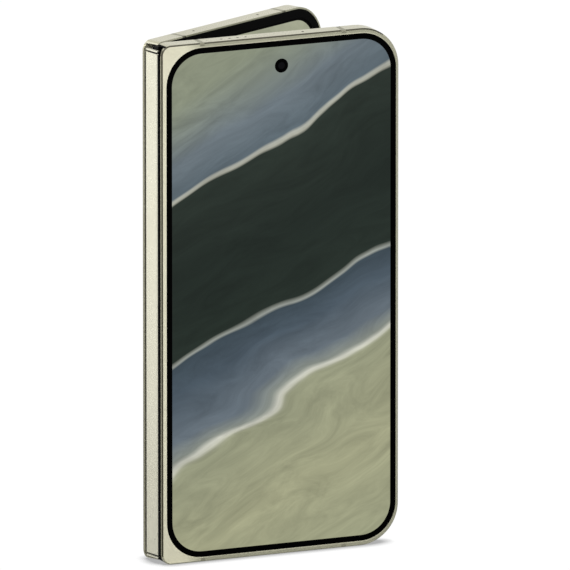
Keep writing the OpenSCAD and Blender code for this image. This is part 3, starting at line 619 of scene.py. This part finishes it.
made = rounded(*GLASS, V_OUT, GLASS_R, 16)
front = made.faces[:]
bmesh.ops.inset_region(made, faces=front, thickness=BORDER_W, depth=0, use_boundary=True,
                       use_even_offset=True)
front[0].material_index = 1         # the face that the inset leaves in the middle is lit
lay_uv(made)
back = bmesh.ops.extrude_face_region(made, geom=made.faces[:])
bmesh.ops.translate(made, vec=(0, GLASS_T, 0),
                    verts=[v for v in back["geom"] if isinstance(v, bmesh.types.BMVert)])
for face in made.faces:
    if face.calc_center_median().y > V_OUT + SAME:
        face.material_index = 0
soften(made, GROUND_EDGE, segments=2, wanted=at(V_OUT))
finish("cover_glass_plate", made, "cover_half", (BORDER, COVER_PICTURE),
       ("cover_glass",))

# %% [markdown]
# ## Turned pieces: camera windows and barrels
#
# Camera parts are round, so each is half of its cross-section spun about the lens's axis.
# The section is written as radius and height pairs, from the middle of the front to the
# middle of the back, and a full spin with merging closes it.

# %% A turned piece
def turned(section, u, z, finish_of, steps=40):
    """A closed solid of revolution about the line through (u, z) along v. section is
    (radius, v) pairs, and finish_of gives each band's finish by its index."""
    made = bmesh.new()
    line = [made.verts.new((u + r, v, z)) for r, v in section]
    edges = [made.edges.new(pair) for pair in zip(line, line[1:])]
    bmesh.ops.spin(made, geom=line + edges, cent=(u, 0, z), axis=(0, 1, 0),
                   angle=2 * math.pi, steps=steps, use_merge=True)
    bmesh.ops.remove_doubles(made, verts=made.verts, dist=0.001)
    for face in made.faces:
        middle = face.calc_center_median()
        radius = math.hypot(middle.x - u, middle.z - z)
        best = min(range(len(section) - 1), key=lambda i: math.hypot(
            (section[i][0] + section[i + 1][0]) / 2 - radius,
            (section[i][1] + section[i + 1][1]) / 2 - middle.y))
        face.material_index = finish_of[best]
    return made


# %% The small cameras in the screens
SELFIE_DROP = 7.5                      # from the rim above the cover glass
SELFIE = ((U0 + RIM_HINGE + U1 - RIM_FAR) / 2, HEIGHT - RIM_END - SELFIE_DROP)
INNER_CAM = (U1 - 26.3, HEIGHT - 12)   # beside the rear cameras' modules, as in the CAD
PUNCH_HOLE = (1, 1, 1, 0, 0, 0, 0)     # a lens in the middle of a black disc

# radius, and how far it stands proud of the screen
made = turned([(r, V_OUT - proud) for r, proud in (
    (0, 0.06), (0.7, 0.055), (1.0, 0.035), (1.05, 0.02), (2.05, 0.02), (2.1, 0),
    (2.1, -0.1), (0, -0.1))], *SELFIE, PUNCH_HOLE)
finish("selfie_window", made, "cover_half", (BORDER, PUPIL))

made = turned([(r, V_PANEL + proud) for r, proud in (
    (0, 0.05), (0.6, 0.045), (0.85, 0.03), (0.9, 0.02), (1.75, 0.02), (1.8, 0),
    (1.8, -0.1), (0, -0.1))], *INNER_CAM, PUNCH_HOLE)
finish("inner_camera_window", made, "main_half", (BORDER, PUPIL))

# %% [markdown]
# ## The folding display
#
# The real display is one sheet. Here each side is one sheet that bends at the hinge's wing
# plate. It starts as a flat rounded rectangle that is longer than it should be at the
# hinge. An inset makes the picture with its rounded corners, a cut takes off the spare
# length, more cuts let it bend, it is turned about the wing's pivot, and then gets its
# thickness.

# %% Both sides of the folding display
WING_V = 0.45                    # the wing's pivot, across the half
WING_TILT = math.radians(12) * (1 - REST / math.radians(90))   # 12 degrees shut, none flat
BEND = 1.3                       # the bend's half length
BEND_CUTS = 8
SHEET_T = 0.5
SHEET_U0 = -0.5                  # the sheet's edge over the hinge
SHEET_IN = 1.6                   # from a half's outline to the sheet's edge
LIT_END = 3.9                    # and to the picture
SPARE = LIT_END - SHEET_IN


def lay_flat_sheet():
    """The flat sheet of one side, with its picture, cut across where it will bend."""
    made = rounded(SHEET_U0 - SPARE, U1 - SHEET_IN, SHEET_IN, HEIGHT - SHEET_IN, V_PANEL,
                   CORNER_R - SHEET_IN, 12, only_far=True)
    front = made.faces[:]
    bmesh.ops.inset_region(made, faces=front, thickness=SPARE, depth=0, use_boundary=True,
                           use_even_offset=True)
    front[0].material_index = 1
    bends = [WING_U - BEND + i * 2 * BEND / BEND_CUTS for i in range(BEND_CUTS + 1)]
    for u in [SHEET_U0] + bends:
        bmesh.ops.bisect_plane(made, geom=made.verts[:] + made.edges[:] + made.faces[:],
                               dist=0.0001, plane_co=(u, 0, 0), plane_no=(1, 0, 0),
                               clear_inner=u == SHEET_U0)
    lay_uv(made)
    return made


for body, wing, node, strip in (
        ("cover_half", "cover_wing", "cover_inner_panel", "cover_bend_strip"),
        ("main_half", "main_wing", "main_inner_panel", "main_bend_strip")):
    made = lay_flat_sheet()
    if body == "main_half":      # the picture runs on across the fold
        layer = made.loops.layers.uv["screen"]
        for face in made.faces:
            for loop in face.loops:
                loop[layer].uv.x = -loop[layer].uv.x
    for vert in made.verts:
        share = min(max((WING_U + BEND - vert.co.x) / (2 * BEND), 0), 1)
        share = share * share * (3 - 2 * share)
        pivot = Vector((WING_U, WING_V, vert.co.z))
        vert.co = pivot + Matrix.Rotation(WING_TILT * share, 3, "Z") @ (vert.co - pivot)
    bmesh.ops.recalc_face_normals(made, faces=made.faces)
    if made.faces[0].normal.y < 0:
        bmesh.ops.reverse_faces(made, faces=made.faces)
    bmesh.ops.solidify(made, geom=made.faces[:], thickness=SHEET_T)
    for face in made.faces:
        if face.normal.y < 0.5:
            face.material_index = 0
    sheet = finish(node + "_sheet", made, body, (BORDER, FOLD_PICTURE),
                   (node, strip))
    # the sheet leaves its parent, but stays in place
    place = sheet.matrix_world.copy()
    sheet.parent = None
    sheet.matrix_world = place
    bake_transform(sheet)

# %% [markdown]
# The strip at the bottom of the fold stays flat, so it is a block of the CAD's own size,
# cut across where the picture ends. A thin film frames each side of the display.

# %% The strip at the bottom of the fold, and the film frames
low, high = (Vector(corner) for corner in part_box("centre_bend_strip"))
made = bmesh.new()
bmesh.ops.create_cube(made, size=1)
bmesh.ops.scale(made, vec=high - low, verts=made.verts)
bmesh.ops.translate(made, vec=(low + high) / 2, verts=made.verts)
for z in (LIT_END * MM, (HEIGHT - LIT_END) * MM):
    bmesh.ops.bisect_plane(made, geom=made.verts[:] + made.edges[:] + made.faces[:],
                           dist=1e-6, plane_co=(0, 0, z), plane_no=(0, 0, 1))
layer = made.loops.layers.uv.new("screen")
for face in made.faces:
    z = face.calc_center_median().z / MM
    face.material_index = 1 if face.normal.x > 0.5 and LIT_END < z < HEIGHT - LIT_END else 0
    for loop in face.loops:
        spot = loop.vert.co / MM
        loop[layer].uv = ((spot.y - SEAT.y) / UV_MM, spot.z / UV_MM)
finish("centre_screen_strip", made, "centre", (BORDER, FOLD_PICTURE),
       ("centre_bend_strip",), Matrix.Identity(4))

for body, node in (("cover_half", "cover_inner_bezel"), ("main_half", "main_inner_bezel")):
    made = cad_copy(node, HALVES[body])
    soften(made, FINE, segments=2, wanted=at(V_IN))
    finish(node + "_film", made, body, (BEZEL_AND_PAINTED_SHADE,), (node,))

# %% [markdown]
# ## The spine
#
# The hinge cover is a shallow channel of polished aluminium between the two halves, closed
# by a small cap at each end with a groove between them. The long edges are rounded in
# the solid; the ends of each piece get a fine bevel so that they catch a line of light.
# The channel's inside, its sides, which run between the halves, and the caps' tabs get the
# black housing finish as painted shade, for the dark gaps beside the spine and under each cap.

# %% Hinge cover and end caps
TAB_HALF = 2.2                   # half the width of what lies inside the channel
SKIN = 0.3                       # what lies deeper than this behind the outer face is inside


def end_edge(middle, normals):
    """True for an edge between a flat end and a side that shows."""
    return (any(abs(n.z) > 0.9 for n in normals)
            and any(n.x < 0.2 and abs(n.z) < 0.1 for n in normals))


for node in ("hinge_cover", "hinge_end_caps"):
    made = cad_copy(node, SPINE)
    for face in made.faces:
        middle = face.calc_center_median()
        inside = abs(middle.y) < TAB_HALF and middle.x > SKIN - HINGE_BACK
        # painted shade: the sides, the inside and the tabs take the black finish
        if abs(face.normal.y) > 0.8 or inside and abs(face.normal.z) < 0.9:
            face.material_index = 1
    soften(made, FINE, segments=2, wanted=end_edge)
    finish(node + "_polished", made, "spine", (STRIP, HOUSING_AND_PAINTED_SHADE),
           (node,), SPINE)

# %% [markdown]
# ## The back: etched glass and the camera island
#
# The island is milled aluminium with a soft outer edge, and holds three windows and a
# flash. Each lens is a barrel that steps down to a small domed element behind its window;
# the steps are what makes a lens read as deep.

# %% Back glass and island
BACK_EDGE = 0.1                  # how far the back glass's edge is eased
ISLAND_EDGE = 0.6                # how far the island's edge is rounded
ISLAND_W, ISLAND_H, ISLAND_T = 21, 60, 2.0
ISLAND_IN = 6                    # from the far edge and the top
ISLAND_MID = Vector((U1 - ISLAND_IN - ISLAND_W / 2, V_OUT, HEIGHT - ISLAND_IN - ISLAND_H / 2))
TOP = V_OUT - ISLAND_T           # the island's face


def island_rim(middle, normals):
    """True for an edge round the outside of the island's face."""
    out = Vector((middle.x - ISLAND_MID.x, 0, middle.z - ISLAND_MID.z))
    near_rim = max(abs(out.x) / (ISLAND_W / 2), abs(out.z) / (ISLAND_H / 2)) > 0.7
    return (abs(middle.y - TOP) < SAME and near_rim
            and any(abs(n.y) < 0.1 and n.dot(out) > 0 for n in normals))


made = cad_copy("back_glass", HALVES["main_half"])
soften(made, BACK_EDGE, segments=2, wanted=at(V_OUT))
finish("back_glass_plate", made, "main_half", (ETCHED,), ("back_glass",))

made = cad_copy("camera_island", HALVES["main_half"])
soften(made, ISLAND_EDGE, segments=4, wanted=island_rim)
finish("camera_island_plate", made, "main_half", (BLASTED,),
       ("camera_island",))

# %% Lenses and flash
LENS_D, FLASH_D = 13, 4.4
LENS_EDGE = 3.2                  # from the island's edge to the first lens, and to the flash
LENS_GAP = (ISLAND_H - 2 * LENS_EDGE - 3 * LENS_D - FLASH_D) / 3
LENS_BANDS = (1, 1, 2, 2, 2, 2, 3, 3, 0, 0, 0, 0, 0, 2)   # from the pupil to the ring's back

for i, (name, size) in enumerate((("wide_lens", 1.0), ("ultrawide_lens", 0.8),
                                  ("tele_lens", 0.9))):
    z = HEIGHT - ISLAND_IN - LENS_EDGE - LENS_D / 2 - i * (LENS_D + LENS_GAP)
    section = ((0, TOP + 0.35), (1.3 * size, TOP + 0.4), (2.1 * size, TOP + 0.62),
               (2.3 * size, TOP + 0.5), (3.0 * size, TOP + 0.45), (3.1 * size, TOP + 0.3),
               (4.4, TOP + 0.25), (4.5, TOP + 0.12), (5.3, TOP + 0.1), (5.35, TOP - 0.12),
               (5.6, TOP - 0.25), (6.1, TOP - 0.25), (6.4, TOP - 0.1), (6.45, TOP + 0.6),
               (0, TOP + 0.65))
    made = turned(section, ISLAND_MID.x, z, LENS_BANDS, 56)
    finish(name, made, "main_half", (CHAMFER_PAINTED_DARK, PUPIL, BARREL, WINDOW),
           ("camera_windows",) if i == 0 else ())

FLASH_Z = HEIGHT - ISLAND_IN - ISLAND_H + LENS_EDGE + FLASH_D / 2
RING_W = 0.38
section = [(0, TOP + 0.1)]
for ring in range(1, 6):         # the diffuser is ground in steps, as a Fresnel lens is
    section += [(ring * RING_W - 0.05, TOP + 0.06), (ring * RING_W, TOP + 0.14)]
section += [(2.15, TOP + 0.1), (2.15, TOP + 0.8), (0, TOP + 0.8)]
bands = [1] * 4 + [0] * (len(section) - 5)   # the lit middle, then the clear rings
bands[-3:] = [2, 2, 2]                       # and the black sleeve that holds them
made = turned(section, ISLAND_MID.x, FLASH_Z, bands)
finish("flash_diffuser", made, "main_half", (DIFFUSER, PHOSPHOR, BARREL),
       ("flash",))

# %% [markdown]
# ## Buttons, SIM tray and charging port
#
# Small things that a thumb finds: the buttons are satin bars with rounded faces, the SIM
# tray is flush with the edge, and the port's tongue carries two rows of contacts.

# %% Buttons, tray and contacts
BUTTON_EDGE = 0.25               # how far a button's face is rounded
BUTTON_OUT = 0.3                 # the face is further out than this from the far edge
DOOR_IN = 0.06                   # the tray's outer face is nearer than this to the bottom

for node in ("power_button", "volume_rocker"):
    made = cad_copy(node, HALVES["main_half"])
    soften(made, BUTTON_EDGE, segments=3,
           wanted=lambda middle, normals: middle.x > U1 + BUTTON_OUT)
    finish(node + "_bar", made, node, (BAND,), (node,),
           HALVES["main_half"])

made = cad_copy("sim_tray", HALVES["cover_half"])
soften(made, FINE, segments=2, wanted=lambda middle, normals: middle.z < DOOR_IN)
finish("sim_tray_door", made, "sim_tray", (BAND,), ("sim_tray",),
       HALVES["cover_half"])

PORT_H, PORT_SHELL = 2.56, 0.3
PORT_U, PORT_V = (U0 + U1) / 2, V_ROOM - PORT_H / 2 - PORT_SHELL
CONTACTS, PITCH = 12, 0.5        # a row of contacts, and from one to the next
CONTACT_SIZE = (0.26, 0.05, 3.0)
CONTACT_Z = 2.9                  # the middle of a contact, from the bottom edge
TONGUE = 0.37                    # from the middle of the port to a row
made = bmesh.new()
for row in (-1, 1):
    for i in range(CONTACTS):
        spot = (PORT_U + (i - (CONTACTS - 1) / 2) * PITCH, PORT_V + row * TONGUE, CONTACT_Z)
        bmesh.ops.create_cube(made, size=1, matrix=Matrix.Translation(spot)
                              @ Matrix.Diagonal(CONTACT_SIZE + (1,)))
finish("port_contacts", made, "main_half", (BRASS,))

# %% [markdown]
# ## Floor, light and camera
#
# The studio is white all round. The camera sees the floor as plain white that darkens only
# where the phone all but touches it. A mirroring ray sees it grey close to the phone and
# white further off, which gives the upright metal its slow fade, and all other light meets a
# pale matt sheet. The strongest lamp stands high on the left, with weaker ones in front and
# above, and the world fills the rest.

# %% The floor
CONTACT = 0.005                  # in metres: how far from the phone its shadow reaches
OPEN_LOW, OPEN_HIGH = 0.45, 0.9  # the shadow is deepest and ends where this much is open
SHADOW, LEVEL = 0.42, 1.02       # how bright the camera sees the floor at these
NEAR, FAR = 0.05, 0.45           # in metres: the upright metal mirrors the floor between these
MIRRORED_NEAR = 0.45             # how bright it mirrors the nearer end


def set_on_stage(name, made, material):
    """A bmesh in metres as part of the studio, which isn't part of the phone."""
    mesh = bpy.data.meshes.new(name)
    made.to_mesh(mesh)
    made.free()
    mesh.materials.append(material)
    piece = bpy.data.objects.new(name, mesh)
    bpy.context.collection.objects.link(piece)
    print(name, "is on the stage")
    return piece


pale, tree, out = blank("pale_matt_floor")
diffuse = add(tree, "BsdfDiffuse", None, {"Color": rgb("EDEDEB")})
rays = add(tree, "LightPath")
place = add(tree, "TexCoord").outputs["Object"]
away = add(tree, "VectorMath", {"operation": "LENGTH"}, {0: place})
mirrored = add(tree, "MapRange", None, {
    "Value": away.outputs["Value"], "From Min": NEAR, "From Max": FAR,
    "To Min": MIRRORED_NEAR, "To Max": 1.0})
glow = add(tree, "Emission", None, {
    "Color": rgb("FFFFFF"), "Strength": mirrored.outputs["Result"]})
sheet = add(tree, "MixShader", None, {
    0: rays.outputs["Is Glossy Ray"], 1: diffuse.outputs["BSDF"], 2: glow.outputs["Emission"]})
cover = add(tree, "AmbientOcclusion", {"samples": 16}, {"Distance": CONTACT})
shade = add(tree, "MapRange", None, {
    "Value": cover.outputs["AO"], "From Min": OPEN_LOW, "From Max": OPEN_HIGH,
    "To Min": SHADOW, "To Max": LEVEL})
white = add(tree, "Emission", None, {
    "Color": rgb("FFFFFF"), "Strength": shade.outputs["Result"]})
choice = add(tree, "MixShader", None, {
    0: rays.outputs["Is Camera Ray"], 1: sheet.outputs["Shader"],
    2: white.outputs["Emission"]})
tree.links.new(choice.outputs["Shader"], out.inputs["Surface"])

made = bmesh.new()
bmesh.ops.create_grid(made, x_segments=1, y_segments=1, size=4.0)
set_on_stage("studio_floor", made, pale)

# %% [markdown]
# A dark card lies on the floor to the left and behind. Only the polished metal sees it: the
# upright side of the rear half mirrors it and turns grey, while the spine, which faces
# another way, stays pale.

# %% The dark card
CARD_TURNS = (math.radians(152), math.radians(182))   # its sides, from +X, seen from above
CARD_NEAR, CARD_FAR = 0.03, 0.95                      # in metres, from the hinge

dark, tree, out = blank("matt_dark_card")
diffuse = add(tree, "BsdfDiffuse", None, {"Color": rgb("3A3A38")})
tree.links.new(diffuse.outputs["BSDF"], out.inputs["Surface"])

made = bmesh.new()
hinge = Vector((SEAT.x * MM, 0, MM))
sides = [Vector((math.cos(turn), math.sin(turn), 0)) for turn in CARD_TURNS]
made.faces.new([made.verts.new(hinge + sides[i] * away) for i, away in (
    (0, CARD_NEAR), (0, CARD_FAR), (1, CARD_FAR), (1, CARD_NEAR))])
card = set_on_stage("dark_card", made, dark)
card.visible_camera = card.visible_diffuse = card.visible_shadow = False

# %% The world and the lamps
FILL = 0.42                      # how strongly the world lights the phone, where 1 is white
TARGET = Vector((0, 0, 0.078))   # the middle of the phone

world = bpy.data.worlds.new("white_studio")
bpy.context.scene.world = world
world.use_nodes = True
tree = world.node_tree
tree.nodes.clear()
rays = add(tree, "LightPath")
seen = add(tree, "Math", {"operation": "MAXIMUM"}, {
    0: rays.outputs["Is Camera Ray"], 1: rays.outputs["Is Glossy Ray"]})
seen = add(tree, "Math", {"operation": "MAXIMUM"}, {
    0: seen.outputs["Value"], 1: rays.outputs["Is Transmission Ray"]})
level = add(tree, "MapRange", None, {
    "Value": seen.outputs["Value"], "To Min": FILL, "To Max": 1.0})
sky = add(tree, "Background", None, {
    "Color": rgb("FFFFFF"), "Strength": level.outputs["Result"]})
tree.links.new(sky.outputs["Background"], add(tree, "OutputWorld").inputs["Surface"])


def direction(azimuth, elevation):
    """The direction from the phone towards a place in the studio, from angles in radians:
    azimuth from the front towards +X, and elevation from level."""
    return Vector((math.sin(azimuth) * math.cos(elevation),
                   -math.cos(azimuth) * math.cos(elevation), math.sin(elevation)))


def place_in_studio(name, data, toward, location):
    """An object for a lamp's or camera's data that looks back along toward."""
    made = bpy.data.objects.new(name, data)
    made.location = location
    made.rotation_euler = toward.to_track_quat("Z", "Y").to_euler()
    bpy.context.collection.objects.link(made)
    return made


# azimuth and elevation in degrees, distance and size in metres, and watts
for name, azimuth, elevation, distance, size, watts in (
        ("high_left_lamp", -80, 50, 1.0, 0.6, 3.6),
        ("front_lamp", -10, 30, 1.8, 0.8, 4),
        ("top_lamp", 20, 82, 1.2, 0.7, 3.4)):
    data = bpy.data.lights.new(name, "AREA")
    data.size, data.energy = size, watts
    toward = direction(math.radians(azimuth), math.radians(elevation))
    place_in_studio(name, data, toward, TARGET + toward * distance)
    print(name, watts, "W at", distance, "m")

# %% [markdown]
# ## The camera
#
# The photograph is almost without perspective: a long lens from far off, to the left of
# the phone and a little above it. The angle, distance and lens come from fitting the CAD's
# edges, holes, chamfers and far corners to the photograph. The distance is the least
# certain of them: anything from five to nine metres fits nearly as well.

# %% The camera
AZIMUTH, ELEVATION = math.radians(-36.263), math.radians(13.222)
DISTANCE = 6.2
FOCAL_PX, IMAGE_PX = 21214, 570  # the focal length and the image's width, in pixels
AIM_RIGHT, AIM_UP = 0.009049, 0.000039   # in metres: the camera aims beside the middle

toward = direction(AZIMUTH, ELEVATION)
right = Vector((math.cos(AZIMUTH), math.sin(AZIMUTH), 0))
aim = TARGET + right * AIM_RIGHT + toward.cross(right) * AIM_UP
data = bpy.data.cameras.new("long_lens")
data.sensor_width = 36
data.lens = FOCAL_PX / IMAGE_PX * data.sensor_width
data.clip_end = 50
camera = place_in_studio("long_lens", data, toward, aim + toward * DISTANCE)
bpy.context.scene.camera = camera
bpy.context.scene.view_settings.view_transform = "Standard"
print("lens", round(data.lens), "mm at", DISTANCE, "m")
